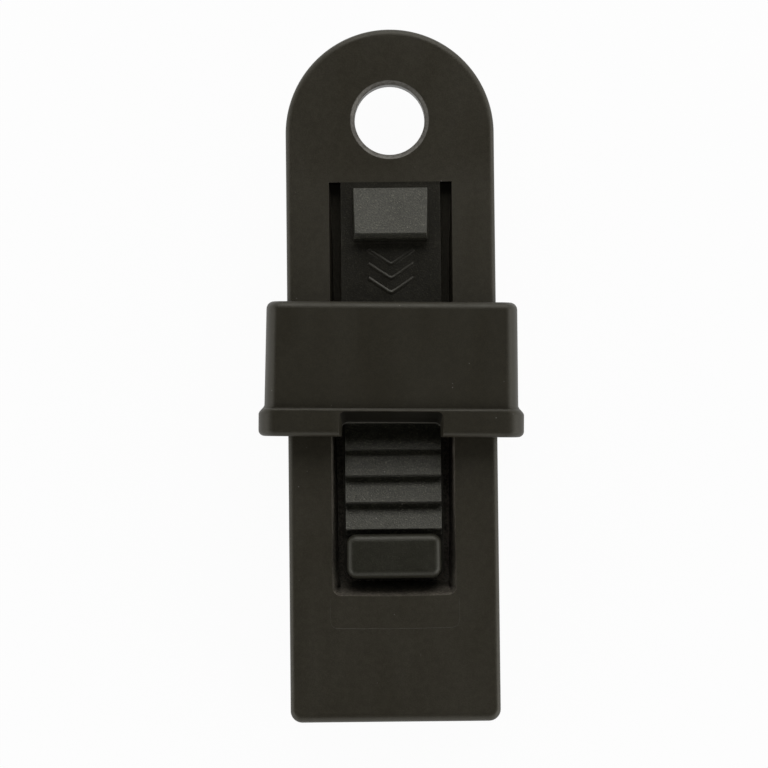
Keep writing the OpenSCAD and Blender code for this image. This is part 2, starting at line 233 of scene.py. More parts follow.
def face_z(d):
    """Height of the upper jaw's outer face: flat over the head, then a short bend whose slope
    grows as t^2 (3 - 2 t) over the share t of its length, then a straight rise."""
    t = np.clip((d - HINGE_REACH) / BEND_L + 0.5, 0, 1)
    past = np.maximum(d - HINGE_REACH - BEND_L / 2, 0)
    return HEAD_T / 2 + (BEND_L * (t ** 3 - t ** 4 / 2) + past) * np.tan(FACE_SLOPE)


def on_face(d, w):
    """Side view point (y, z) at a reach d, w square above the face; d may be an array."""
    return np.stack([-d + w * np.sin(FACE_SLOPE), face_z(d) + w * np.cos(FACE_SLOPE)], -1)


def inner_point(d, h):
    """Side view point [y, z] at a reach on a jaw's inner side, h over the middle when shut."""
    return [-d, h + (d - HINGE_REACH) * np.tan(OPEN_ANGLE)]


def turns(start, end, count):
    """Angles in radians, from start to end in degrees."""
    return np.radians(np.linspace(start, end, count))


def circle(t):
    """Points (cos t, sin t)."""
    return np.stack([np.cos(t), np.sin(t)], -1)


def arc(centre, r, start, end, count=7):
    """Points centre + r (cos t, sin t) for t from start to end, in degrees."""
    return centre + r * circle(turns(start, end, count))


# Corners of a rectangle, anticlockwise: two signs, and the angle at which its arc starts
CORNERS = ((1, -1, -90), (1, 1, 0), (-1, 1, 90), (-1, -1, 180))


def pocket_depth(d):
    """Depth of the latch pocket at a reach, clear of the pressed tongue."""
    return TONGUE_T + (d - TONGUE_HINGE) * np.tan(PRESS_ANGLE) + FLOOR_CLEARANCE


def make_piece(name, points, faces):
    """Mesh object from points in millimetres and faces: doubles merged, faces outwards."""
    mesh = bpy.data.meshes.new(name)
    mesh.from_pydata((np.asarray(points, float) * MM).tolist(), [], faces)
    shell = bmesh.new()
    shell.from_mesh(mesh)
    bmesh.ops.remove_doubles(shell, verts=shell.verts, dist=MERGE_GAP * MM)
    bmesh.ops.dissolve_degenerate(shell, edges=shell.edges, dist=SHORT_EDGE * MM)
    bmesh.ops.recalc_face_normals(shell, faces=shell.faces)
    shell.to_mesh(mesh)
    shell.free()
    return placed(name, mesh)


def placed(name, data):
    """Object with this data, in the scene."""
    made = bpy.data.objects.new(name, data)
    bpy.context.collection.objects.link(made)
    return made


def settle(piece):
    """Replaces the mesh by the one its modifiers make, and removes them."""
    bpy.context.view_layer.update()
    shaped = bpy.data.meshes.new_from_object(
        piece.evaluated_get(bpy.context.evaluated_depsgraph_get()))
    piece.modifiers.clear()
    old, piece.data = piece.data, shaped
    shaped.name = piece.name
    bpy.data.meshes.remove(old)


def cut(piece, *cutters):
    """Takes each cutter's solid out of the piece and deletes the cutter."""
    for cutter in cutters:
        taken = piece.modifiers.new("cut", "BOOLEAN")
        taken.operation = "DIFFERENCE"
        taken.solver = "EXACT"
        taken.object = cutter
        settle(piece)
        mesh = cutter.data
        bpy.data.objects.remove(cutter)
        bpy.data.meshes.remove(mesh)


def ring_faces(rows, columns, closed=False):
    """Quads between rings of points; closed joins the last ring to the first."""
    i = np.arange(rows if closed else rows - 1)[:, None]
    j = np.arange(columns)[None, :]
    i_next, j_next = (i + 1) % rows, (j + 1) % columns
    quads = np.stack([
        i * columns + j, i * columns + j_next, i_next * columns + j_next, i_next * columns + j
    ], -1)
    return quads.reshape(-1, 4).tolist()


def tube_faces(rows, columns):
    """Faces of a tube of closed rings of points: its wall and its two ends."""
    last = columns * (rows - 1)
    return ring_faces(rows, columns) + [
        list(range(columns)), list(range(last, last + columns))]


def prism_across(name, side, half_w):
    """A side view (y, z), in anticlockwise order, carried across the clip from -half_w to
    half_w. half_w may have a value for each point, which slants the ends."""
    count = len(side)
    half = np.broadcast_to(half_w, count)
    ring = np.arange(count)
    ahead = (ring + 1) % count
    walls = np.stack([ahead, ahead + count, ring + count, ring], -1)
    faces = [ring[::-1].tolist(), (ring + count).tolist()] + walls.tolist()
    ends = [np.column_stack([-half, side]), np.column_stack([half, side])]
    return make_piece(name, np.concatenate(ends), faces)


def strip_across(name, stations, half_w):
    """A strip along the face: at each station (reach, upper height, lower height) a
    rectangle from -half_w to half_w (one value, or one a station), joined by quads."""
    d, upper, lower = np.asarray(stations, float).T
    high, low = on_face(d, upper), on_face(d, lower)
    half = np.broadcast_to(half_w, len(d))
    rings = np.stack([
        np.column_stack([half, high]), np.column_stack([-half, high]),
        np.column_stack([-half, low]), np.column_stack([half, low])
    ], 1)
    last = 4 * (len(d) - 1)
    faces = ring_faces(len(d), 4)
    faces += [[3, 2, 1, 0], [last, last + 1, last + 2, last + 3]]
    return make_piece(name, rings.reshape(-1, 3), [face[::-1] for face in faces])


def slab(name, half, normals, levels):
    """A solid between a top and a bottom that follow the same outline, seen from above.

    half is the right half of the outline from head end to mouth end, as (x, y) with x >= 0.
    Each level is (inset, z): the outline moves in along its normals by the inset, and z gives
    a height for each moved point. Levels run from the top to the bottom."""
    count = len(half)
    rings = []
    for inset, height in levels:
        moved = half - normals * np.reshape(inset, (-1, 1))
        moved[:, 0] = np.maximum(moved[:, 0], 0)
        z = height(-moved[:, 1])
        mirrored = moved[-2:0:-1] * [-1, 1]
        rings.append(np.column_stack([
            np.concatenate([moved, mirrored]), np.concatenate([z, z[-2:0:-1]])
        ]))
    around = 2 * count - 2
    right = np.arange(count)
    left = (around - right) % around
    strips = np.stack([right[:-1], right[1:], left[1:], left[:-1]], -1)
    top = [list(dict.fromkeys(face)) for face in strips.tolist()]
    bottom = [[v + around * (len(levels) - 1) for v in face[::-1]] for face in top]
    walls = ring_faces(len(levels), around)
    return make_piece(name, np.concatenate(rings),
                      top + bottom + [face[::-1] for face in walls])


def rim_levels(r, height, rising):
    """Levels of a quarter round rim of radius r (one value, or one a point) below a height
    function, or above it where rising is true."""
    sign = 1 if rising else -1
    found = []
    for turn in turns(0, 90, 7):
        inset = r * (1 - np.sin(turn))
        drop = r * (1 - np.cos(turn))
        found.append((inset, lambda d, drop=drop: height(d) + sign * drop))
    return found[::-1] if rising else found


def soften(piece, width=SHARP_R, segments=2, kept=None):
    """Bevels the sharp edges, apart from those whose middle (x, y, z in millimetres) kept()
    picks out, and shades the piece smooth."""
    mesh = piece.data
    corners = read(mesh.polygons, "loop_total", 1, int).ravel()
    face_of = np.repeat(np.arange(len(mesh.polygons)), corners)
    edge_of = read(mesh.loops, "edge_index", 1, int).ravel()
    order = np.argsort(edge_of, kind="stable")
    edges, first, counts = np.unique(edge_of[order], return_index=True, return_counts=True)
    paired = counts == 2
    one = face_of[order][first[paired]]
    two = face_of[order][first[paired] + 1]
    facing = read(mesh.polygons, "normal", 3)
    turn = np.degrees(np.arccos(np.clip((facing[one] * facing[two]).sum(1), -1, 1)))
    points = read(mesh.vertices, "co", 3) / MM
    ends = read(mesh.edges, "vertices", 2, int)
    middle = points[ends].mean(1)
    weights = np.zeros(len(mesh.edges))
    weights[edges[paired]] = turn > SHARP_TURN
    if kept is not None:
        weights[kept(*middle.T)] = 0
    held = mesh.attributes.new("bevel_weight_edge", "FLOAT", "EDGE")
    held.data.foreach_set("value", weights.astype(np.float32))
    bevel = piece.modifiers.new("soften", "BEVEL")
    bevel.width = width * MM
    bevel.segments = segments
    bevel.limit_method = "WEIGHT"
    bevel.miter_outer = "MITER_ARC"
    settle(piece)
    finish_shading(piece)


def read(items, key, width, kind=float):
    """Values of one property of all items, as an array with that many columns."""
    values = np.empty(len(items) * width, np.float32 if kind is float else np.int32)
    items.foreach_get(key, values)
    return values.reshape(-1, width).astype(kind)


def place_points(mesh, points):
    """Moves a mesh's points to these places, in metres."""
    mesh.vertices.foreach_set("co", points.astype(np.float32).ravel())
    mesh.update()


def finish_shading(piece, angle=32):
    """Smooth shading that keeps flat faces flat and edges over the angle sharp."""
    mesh = piece.data
    mesh.shade_smooth()
    mesh.set_sharp_from_angle(angle=np.radians(angle))
    weighted = piece.modifiers.new("flat faces", "WEIGHTED_NORMAL")
    weighted.keep_sharp = True
    weighted.weight = 90


# ---- Body moulding ----

def clip_blank(name):
    """Head and one jaw as a solid block. Outline: a half circle round the head, straight
    sides and two rounded corners at the mouth; the rims are quarter rounds, larger round the
    mouth. Its top is the face, its bottom the underside of the head."""
    r = BODY_W / 2
    head_n = circle(turns(90, 0, 49))
    head = r * head_n + [0, ARC_CENTRE]
    stations = np.array([-4, -5, -5.7, -6.3, -6.9, -ROOT_REACH, -8.3, -HINGE_REACH, -9.7,
                         -JAW_ROOT, -11.1, -12, -13, -20, -40, -60, -80, -96])
    side = np.column_stack([np.full(len(stations), r), stations])
    side_n = np.tile([1.0, 0.0], (len(stations), 1))
    corner_n = circle(turns(0, -90, 13))
    inner = r - MOUTH_CORNER_R
    corner = [inner, MOUTH_CORNER_R - JAW_REACH] + MOUTH_CORNER_R * corner_n
    across = np.linspace(inner, 0, 9)[1:]
    end = np.column_stack([across, np.full(len(across), -JAW_REACH)])
    end_n = np.tile([0.0, -1.0], (len(across), 1))
    half = np.concatenate([head, side, corner, end])
    normals = np.concatenate([head_n, side_n, corner_n, end_n])
    half[0, 0] = half[-1, 0] = 0
    rim = EDGE_R + (MOUTH_EDGE_R - EDGE_R) * np.clip(-normals[:, 1], 0, 1)
    levels = rim_levels(rim, face_z, False)
    levels += rim_levels(EDGE_R, lambda d: np.full(np.shape(d), -HEAD_T / 2), True)
    return slab(name, half, normals, levels)


def jaw_gap_side():
    """Side view of all that lies below the upper jaw: the slit between the two webs with its
    rounded end, the jaw's inner face and the recess for the teeth."""
    web_low = HEAD_T / 2 - WEB_T
    root = on_face(JAW_ROOT, -WEB_T)
    inner_root = inner_point(JAW_ROOT, JAW_GAP / 2)
    return np.concatenate([
        [[-ROOT_REACH, -HEAD_T]],
        arc([-ROOT_REACH - WEB_FILLET_R, web_low - WEB_FILLET_R], WEB_FILLET_R, 0, 90),
        [[-HINGE_REACH, web_low], root],
        [[root[0] - 0.15, inner_root[1] + 0.15], [root[0] - 0.5, inner_root[1]]],
        [inner_point(GRIP_START, JAW_GAP / 2), inner_point(GRIP_START, GRIP_GAP / 2),
         inner_point(JAW_REACH + 2, GRIP_GAP / 2), [-JAW_REACH - 2, -HEAD_T]]
    ])


def eyelet_cutter():
    """Bore with flared rims: the profile (radius, z) turned round the eyelet's axis. Each rim
    is a slope with a short round at both ends."""
    z, w, h = HEAD_T / 2, EYELET_RIM_W, EYELET_RIM_H
    share = np.array([[0, 1], [0.01, 0.88], [0.1, 0.72], [0.82, 0.06], [0.92, 0.01], [1, 0]])
    rim = np.column_stack([EYELET_R + w * share[:, 0], z - h * share[:, 1]])
    flare = EYELET_R + w
    profile = np.concatenate([
        [[0, -z - 1], [flare, -z - 1]], rim[::-1] * [1, -1], rim, [[flare, z + 1], [0, z + 1]]
    ])
    turn = np.linspace(0, 2 * np.pi, 96, endpoint=False)
    points = np.stack([
        profile[:, None, 0] * np.cos(turn), profile[:, None, 0] * np.sin(turn),
        np.broadcast_to(profile[:, None, 1], (len(profile), len(turn)))
    ], -1)
    return make_piece("eyelet cutter", points.reshape(-1, 3),
                      ring_faces(len(profile), len(turn)))


def pocket_cutter():
    """Latch pocket: a slab with two rounded corners at its mouth end, walls that close
    towards the floor, most of all the end wall, and a sloping floor."""
    w = POCKET_W / 2
    inner = w - POCKET_CORNER_R
    corner_n = circle(turns(0, -90, 9))
    corner = [inner, POCKET_CORNER_R - POCKET_REACH] + POCKET_CORNER_R * corner_n
    bow = np.linspace(1, 0, 7)[1:]
    end = np.column_stack([bow * inner, -POCKET_REACH - POCKET_END_BOW * (1 - bow ** 2)])
    half = np.concatenate([
        [[0, -JAW_ROOT], [w, -JAW_ROOT], [w, -STOP_END], [w, -TONGUE_FULL]], corner, end
    ])

    def floor(d):
        root = TONGUE_ROOT_T + POCKET_ROOT_GAP
        share = np.clip((d - JAW_ROOT) / (TONGUE_FULL - JAW_ROOT), 0, 1)
        rising = root + (pocket_depth(TONGUE_FULL) - root) * share
        depth = np.where(d < TONGUE_FULL, rising, pocket_depth(d))
        return face_z(d) - depth / np.cos(FACE_SLOPE)

    out = np.concatenate([
        [[0, 0], [0, 0], [1, 0], [1, 0]], corner_n, np.tile([0.0, -1.0], (len(end), 1))
    ])
    deep = face_z(-half[:, 1]) - floor(-half[:, 1])
    drawn = POCKET_DRAFT_IN + (POCKET_END_IN - POCKET_DRAFT_IN) * out[:, 1] ** 2
    levels = [(0.0, lambda d: face_z(d) + 2), (0.0, lambda d: face_z(d) - 0.2),
              (drawn * deep / deep[-1], floor)]
    return slab("pocket cutter", half, out, levels)


def root_block():
    """Root of the tongue, from the web to the end of the ramp, that stays in the pocket."""
    return strip_across("root block", [
        (JAW_ROOT - 2, 4, -TONGUE_ROOT_T), (STOP_END, 4, -TONGUE_ROOT_T)
    ], TONGUE_W / 2)


def flipped(piece):
    """Turns the upper half of the moulding into the lower one: z changes sign."""
    mesh = piece.data
    points = read(mesh.vertices, "co", 3)
    points[:, 2] *= -1
    mesh.flip_normals()
    place_points(mesh, points)
    return piece


def core_cutters():
    """Cores in the lower jaw's inner side: rounded rectangles sunk square to that side."""
    zone_l = GRIP_START - CORE_TO_GRIP - CORE_REACH
    l = (zone_l - (CORE_ROWS - 1) * CORE_RIB_T) / CORE_ROWS
    w = (BODY_W - 2 * CORE_WALL_T - (CORE_COLS - 1) * CORE_RIB_T) / CORE_COLS
    r = CORE_CORNER_R
    outline = np.concatenate([
        arc([sx * (w / 2 - r), sy * (l / 2 - r)], r, start, start + 90, 5)
        for sx, sy, start in CORNERS
    ])
    found = []
    for row in range(CORE_ROWS):
        for column in range(CORE_COLS):
            reach = CORE_REACH + row * (l + CORE_RIB_T) + l / 2 - outline[:, 1]
            x = outline[:, 0] + (column - (CORE_COLS - 1) / 2) * (w + CORE_RIB_T)
            rings = [np.column_stack([x, *inner_point(reach, h)])
                     for h in (-1.5, JAW_GAP / 2 + CORE_DEPTH)]
            found.append(make_piece("core cutter", np.concatenate(rings),
                                    tube_faces(2, len(outline))))
    return found


upper = clip_blank("body_upper_half")
pocket = pocket_cutter()
cut(pocket, root_block())
cut(upper, prism_across("jaw gap", jaw_gap_side(), BODY_W), eyelet_cutter(), pocket)


def upper_kept(x, y, z):
    """Edges of the upper half that stay sharp: its joins with the lower half and the tongue,
    and the pocket's floor."""
    on_butt = (np.abs(y + ROOT_REACH) < TOUCH) & (z < -1)
    on_tongue = (np.abs(x) < TONGUE_W / 2 + TOUCH) & (np.abs(-y - STOP_END) < JOIN_L)
    in_pocket = (np.abs(x) < POCKET_W / 2 + TOUCH) & (-y > JAW_ROOT - TOUCH) & (
        -y < POCKET_REACH + 0.2) & (z < face_z(-y) - 1) & (z > face_z(-y) - 8.5)
    return on_butt | on_tongue | in_pocket


soften(upper, POCKET_EDGE_R, 3, kept=upper_kept)

lower = flipped(clip_blank("body_lower_half"))
gap_below = (jaw_gap_side() * [1, -1])[::-1]
head_box = [[-ROOT_REACH, -HEAD_T], [BODY_W, -HEAD_T], [BODY_W, HEAD_T], [-ROOT_REACH, HEAD_T]]
cut(lower, prism_across("jaw gap", gap_below, BODY_W),
    prism_across("head box", head_box, BODY_W))
for core in core_cutters():
    cut(lower, flipped(core))
soften(lower, kept=lambda x, y, z: np.abs(y + ROOT_REACH) < TOUCH)

for piece, web, jaw in ((upper, "upper_flexure", "upper_jaw"),
                        (lower, "lower_flexure", "lower_jaw")):
    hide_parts(web, jaw)
    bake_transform(piece)
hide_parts("eyelet_head")


# Shares of the way round the mouth's corner at which the teeth's ends are drawn
CORNER_SHARES = np.array([0, 0.05, 0.2, 0.45, 1.0])


def grip_teeth(name, first, rows, flip):
    """Rows of teeth on their pad: wedges with flat tips, carried across the mouth. Their ends
    follow the quarter rounds of the mouth's corners."""
    floor_h, tip_h = GRIP_GAP / 2, GRIP_TIP_GAP / 2
    foot_h = floor_h - GRIP_PAD_T
    foot, tip = GRIP_FOOT_SHARE * GRIP_PITCH / 2, GRIP_TIP_L / 2
    end = JAW_REACH - GRIP_END_IN
    side = [inner_point(GRIP_START, floor_h), inner_point(GRIP_START, foot_h)]
    for row in range(rows):
        d = first + row * GRIP_PITCH
        side += [inner_point(d - foot, foot_h), inner_point(d - tip, tip_h),
                 inner_point(d + tip, tip_h), inner_point(d + foot, foot_h)]
    side += [inner_point(k, foot_h) for k in end - MOUTH_CORNER_R * CORNER_SHARES[:0:-1]]
    side += [inner_point(k, floor_h) for k in end - MOUTH_CORNER_R * CORNER_SHARES]
    side = np.array(side)
    into = np.clip(1 - (end + side[:, 0]) / MOUTH_CORNER_R, 0, 1)
    half_w = BODY_W / 2 - GRIP_SIDE_IN - MOUTH_CORNER_R * (1 - np.sqrt(1 - into ** 2))
    piece = prism_across(name, side, half_w)
    soften(piece, GRIP_EDGE_R)
    if flip:
        flipped(piece)
    return piece


upper_grip = grip_teeth("upper_grip_rows", GRIP_START + GRIP_PITCH / 2, GRIP_ROWS, False)
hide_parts("upper_grip_teeth")
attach(upper_grip, "upper_jaw")
lower_grip = grip_teeth("lower_grip_rows", GRIP_START + GRIP_PITCH, GRIP_ROWS - 1, True)
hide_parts("lower_grip_teeth")
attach(lower_grip, "lower_jaw")

# ---- Tongue, ramp, teeth and button ----

def tongue_strip():
    """Tongue from the ramp's end: a thin part that bends, a stiff part cut down under the
    teeth, and a free end whose corners are quarter rounds seen from above."""
    stations = [(d, 0, -TONGUE_ROOT_T) for d in np.linspace(STOP_END, TONGUE_START, 9)]
    stations += [(TONGUE_FULL, 0, -TONGUE_T), (RACK_START, 0, -TONGUE_T),
                 (RACK_START, -RACK_FLOOR, -TONGUE_T), (BUTTON_START, -RACK_FLOOR, -TONGUE_T)]
    into, out = TONGUE_END_R * (1 - circle(turns(0, 90, 9)).T)
    stations += [(d, -RACK_FLOOR, -TONGUE_T) for d in TONGUE_END - out]
    half_w = np.full(len(stations), TONGUE_W / 2)
    half_w[-len(into):] -= into
    return strip_across("latch_tongue_strip", stations, half_w)


tongue = tongue_strip()
soften(tongue, kept=lambda x, y, z: np.abs(-y - STOP_END) < JOIN_L)
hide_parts("tongue_flexure", "latch_tongue")
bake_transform(tongue)

ramp_side = np.array([
    on_face(STOP_FOOT - 2 * STOP_SUNK, -STOP_SUNK), on_face(STOP_FOOT, 0),
    on_face(STOP_CREST, STOP_H), on_face(STOP_FACE, STOP_H - STOP_BEVEL_H),
    on_face(STOP_FACE, -STOP_SUNK)
])
ramp_half_w = STOP_W / 2 - STOP_SIDE_DRAFT * np.array([0, 0, STOP_H, STOP_H - STOP_BEVEL_H, 0])
ramp = prism_across("collar_stop_ramp", ramp_side[::-1], ramp_half_w[::-1])
soften(ramp, STOP_EDGE_R, 3)
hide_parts("collar_stop")
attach(ramp, "upper_jaw")


def rack_side():
    """Side view of the ratchet: each tooth rises over its pitch from a shallow hollow and
    drops straight down, with a small radius on its ridge."""
    deep, brink = -TOOTH_H - TOOTH_HOLLOW, -TOOTH_H + TOOTH_HOLLOW
    side = [(RACK_START + 0.02, -RACK_FLOOR), (RACK_START + 0.02, -TOOTH_H),
            (FIRST_RIDGE - TOOTH_PITCH, -TOOTH_H)]
    for tooth in range(TOOTH_COUNT):
        ridge = FIRST_RIDGE + tooth * TOOTH_PITCH
        side += [(ridge - TOOTH_RIDGE_R, -0.05), (ridge, -TOOTH_RIDGE_R),
                 (ridge - TOOTH_RIDGE_R, brink), (ridge, deep)]
        if tooth < TOOTH_COUNT - 1:
            side += [(ridge + TOOTH_HOLLOW_L / 2, deep), (ridge + TOOTH_HOLLOW_L, brink)]
    side += [(BUTTON_START, -TOOTH_H), (BUTTON_START, -RACK_FLOOR)]
    return on_face(*np.array(side).T)


rack = prism_across("ratchet_rack", rack_side()[::-1], RACK_W / 2)
soften(rack, TOOTH_EDGE_R)
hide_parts("ratchet_teeth")
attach(rack, "latch")


def button_piece():
    """Button: a rounded rectangle whose upper rim is a quarter round, in the face's own
    slope."""
    l = (TONGUE_END - BUTTON_START) / np.cos(FACE_SLOPE)
    w, r = BUTTON_W / 2, BUTTON_CORNER_R
    n = circle(turns(90, 0, 9))
    near = [w - r, l / 2 - r] + r * n
    half = np.concatenate([[[0, l / 2]], near, (near * [1, -1])[::-1], [[0, -l / 2]]])
    normals = np.concatenate([[[0, 1]], n, (n * [1, -1])[::-1], [[0, -1]]])
    levels = rim_levels(BUTTON_EDGE_R, lambda d: np.full(np.shape(d), BUTTON_RISE), False)
    levels.append((0.0, lambda d: np.full(np.shape(d), -RACK_FLOOR)))
    piece = slab("release_button_cap", half, normals, levels)
    points = read(piece.data.vertices, "co", 3)
    middle = (BUTTON_START + TONGUE_END) / 2
    along, up = points[:, 1:].T.copy() / MM
    points[:, 1] = (-middle + along * np.cos(FACE_SLOPE) + up * np.sin(FACE_SLOPE)) * MM
    points[:, 2] = (face_z(middle) - along * np.sin(FACE_SLOPE) + up * np.cos(FACE_SLOPE)) * MM
    place_points(piece.data, points)
    return piece


button = button_piece()
finish_shading(button)
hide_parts("release_button")
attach(button, "latch")

# ---- Collar ----

def rounded_ring(reach, half_w, half_h, r, r_up):
    """Points at a reach round a rectangle with elliptical corners, r wide and r_up high,
    anticlockwise from the lower right."""
    ring = np.concatenate([
        [sx * (half_w - r), sz * (half_h - r_up)]
        + [r, r_up] * circle(turns(start, start + 90, 13))
        for sx, sz, start in CORNERS
    ])
    return np.insert(ring, 1, -reach, axis=1)


def passage_top(reach):
    """Height of the top of the collar's passage, which narrows towards its back."""
    return PASSAGE_H / 2 - (COLLAR_FRONT - reach) * np.tan(PASSAGE_TAPER)


def collar_shell():
    """Sleeve and flange: a rectangle with elliptical corners carried along the clip, out over
    the sleeve's rim and draft to the flange, round its rims, and back through the passage. At
    its back the flange steps up square with a small rim, and flares out sideways in an S."""
    rise = (FLANGE_W - SLEEVE_W) / 2
    draft = (FLANGE_BACK - COLLAR_BACK) * np.tan(COLLAR_DRAFT)
    less_cos, less_sin = 1 - circle(turns(0, 90, 9)).T
    rim_in = SLEEVE_RIM_R * less_sin
    flare_d = FLANGE_BACK - 0.4 * FLANGE_FLARE_L + FLANGE_FLARE_L * np.linspace(0, 1, 13)
    flare = np.clip((flare_d - flare_d[0]) / FLANGE_FLARE_L, 0, 1)
    flare = rise * flare ** 2 * (3 - 2 * flare)
    foot = FLANGE_FOOT_R * np.array([0, 0.3, 1])
    step_d = FLANGE_BACK + np.concatenate([-foot[::-1], FLANGE_BACK_R * less_cos])
    step = np.concatenate([foot, rise - FLANGE_BACK_R * less_sin])
    between = np.sort(np.concatenate([flare_d, step_d]))
    up_at = np.interp(between, step_d, step)
    up_at[between == FLANGE_BACK] = [FLANGE_FOOT_R, rise - FLANGE_BACK_R]
    out_at = np.interp(between, flare_d, flare)
    front_in = FLANGE_RIM_R * less_cos

    d = np.concatenate([COLLAR_BACK + SLEEVE_RIM_R * less_cos, between,
                        COLLAR_FRONT - FLANGE_RIM_R * less_sin])
    out = np.concatenate([-draft - rim_in, out_at, rise - front_in])
    up = np.concatenate([-draft - rim_in, up_at, rise - front_in])
    r = np.concatenate([SLEEVE_EDGE_R - 0.5 * rim_in,
                        SLEEVE_EDGE_R + (FLANGE_EDGE_R - SLEEVE_EDGE_R) * out_at / rise,
                        FLANGE_EDGE_R - 0.5 * front_in])
    rings = [
        rounded_ring(reach, SLEEVE_W / 2 + x, SLEEVE_H / 2 + z, corner, COLLAR_EDGE_H)
        for reach, x, z, corner in zip(d, out, up, r)
    ]
    lead, corner = PASSAGE_LEAD, PASSAGE_CORNER_R
    for reach, flared in ((COLLAR_FRONT, lead), (COLLAR_FRONT - lead, 0),
                          (COLLAR_BACK + lead, 0), (COLLAR_BACK, lead)):
        rings.append(rounded_ring(reach, PASSAGE_W / 2 + flared, passage_top(reach) + flared,
                                  corner, corner))
    return make_piece("lock_collar_shell", np.concatenate(rings),
                      ring_faces(len(rings), len(rings[0]), closed=True))


def notch_cutter():
    """Notch over the teeth, as outlines one over the other: a rectangle with rounded inner
    corners, whose inner end slopes to the pawl's ledge and whose sides close in."""
    low = passage_top(PAWL_TIP)
    top = FLANGE_H / 2
    back = COLLAR_FRONT - NOTCH_L
    slim = (NOTCH_W - NOTCH_DRAFT_W) / 2
    levels = [(top + 1, back - 0.1, NOTCH_W / 2 + 0.1), (top, back, NOTCH_W / 2),
              (low + 0.06, PAWL_TIP - NOTCH_LEDGE, slim), (low, PAWL_TIP, slim),
              (low - 1.2, PAWL_TIP, slim)]
    r = NOTCH_CORNER_R
    rings = []
    for z, inner, half_w in levels:
        plan = np.concatenate([
            [[half_w, -COLLAR_FRONT - 1]], arc([half_w - r, -inner - r], r, 0, 90),
            arc([r - half_w, -inner - r], r, 90, 180), [[-half_w, -COLLAR_FRONT - 1]]
        ])
        rings.append(np.column_stack([plan, np.full(len(plan), z)]))
    return make_piece("notch cutter", np.concatenate(rings),
                      tube_faces(len(rings), len(rings[0])))


def collar_kept(x, y, z):
    """Edges of the collar that stay as they are: all but those round the notch's opening."""
    round_notch = (np.abs(x) < NOTCH_W / 2 + 0.05) & (z > 7) & (
        y < -COLLAR_FRONT + NOTCH_L + 0.05)
    deep = (z < FLANGE_H / 2 - 0.3) & (y > -COLLAR_FRONT + 0.05)
    return ~round_notch | deep


collar = collar_shell()
cut(collar, notch_cutter())
soften(collar, NOTCH_EDGE_R, 3, kept=collar_kept)
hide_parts("collar_sleeve", "collar_flange")
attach(collar, "collar")

pawl_back = HELD_RIDGE + PAWL_CLEARANCE
pawl_rise = TOOTH_H / TOOTH_PITCH
roof_tip = passage_top(PAWL_TIP)
pawl_side = np.array([
    [-pawl_back, passage_top(pawl_back) + PAWL_SUNK],
    on_face(pawl_back, -TOOTH_H + pawl_rise * PAWL_CLEARANCE + PAWL_CLEARANCE),
    on_face(PAWL_TIP, PAWL_CLEARANCE), [-PAWL_TIP, roof_tip],
    [-PAWL_TIP + 2 * PAWL_SUNK, roof_tip + PAWL_SUNK]
])
pawl = prism_across("collar_pawl_wedge", pawl_side, PAWL_W / 2)
soften(pawl, PAWL_EDGE_R)
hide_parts("collar_pawl")
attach(pawl, "collar")

# ---- Small marks of the mould ----

def bead(name, path, up, width, height):
    """A low rounded ridge along a path of points: at each one its profile is a half wave,
    height (1 - u^2) over u from -1 to 1, set across the path and square to the surface
    (up); a line of points just under the surface closes it."""
    up = np.broadcast_to(up, path.shape)
    along = np.gradient(path, axis=0)
    across = np.cross(along, up)
    across /= np.linalg.norm(across, axis=1)[:, None]
    u = np.linspace(-1, 1, 7)
    crown = (path[:, None] + across[:, None] * (u * width / 2)[None, :, None]
             + up[:, None] * (height * (1 - u ** 2))[None, :, None])
    under = path[:, None] - 0.05 * up[:, None]
    rings = np.concatenate([crown, under], axis=1)
    piece = make_piece(name, rings.reshape(-1, 3), tube_faces(len(path), rings.shape[1]))
    finish_shading(piece, 60)
    return piece


FACE_UP = np.array([0, np.sin(FACE_SLOPE), np.cos(FACE_SLOPE)])


def chevron(tip):
    """One raised chevron on the tongue: two arms that meet at the tip, which points to the
    mouth, as one path from end to end."""
    share = np.linspace(-1, 1, 17)
    x = CHEVRON_W / 2 * share
    d = tip - CHEVRON_L * np.sqrt(share ** 2 + CHEVRON_ROUND)
    return bead("tongue_chevron_%d" % round(tip), np.column_stack([x, on_face(d, -0.02)]),
                FACE_UP, CHEVRON_LINE, CHEVRON_H)


chevrons = [chevron(CHEVRON_TIP + k * CHEVRON_PITCH) for k in range(3)]
for piece in chevrons:
    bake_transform(piece)


def insert_line():
    """Faint line that the mould's insert leaves: a rounded rectangle past the pocket."""
    r, w, low = INSERT_CORNER_R, INSERT_W / 2, POCKET_REACH + 0.5
    corner = arc([w - r, INSERT_REACH - r], r, 0, 90)
    bow = np.linspace(1, 0, 6)[1:-1]
    end = np.column_stack([(w - r) * bow, INSERT_REACH + POCKET_END_BOW * (1 - bow ** 2)])
    half = np.concatenate([[[w, low], [w, (low + INSERT_REACH - r) / 2]], corner, end])
    middle = [[0, INSERT_REACH + POCKET_END_BOW]]
    x, d = np.concatenate([half, middle, half[::-1] * [-1, 1]]).T
    return bead("pocket_insert_line", np.column_stack([x, on_face(d, -0.005)]),
                FACE_UP, INSERT_LINE_W, INSERT_LINE_H)


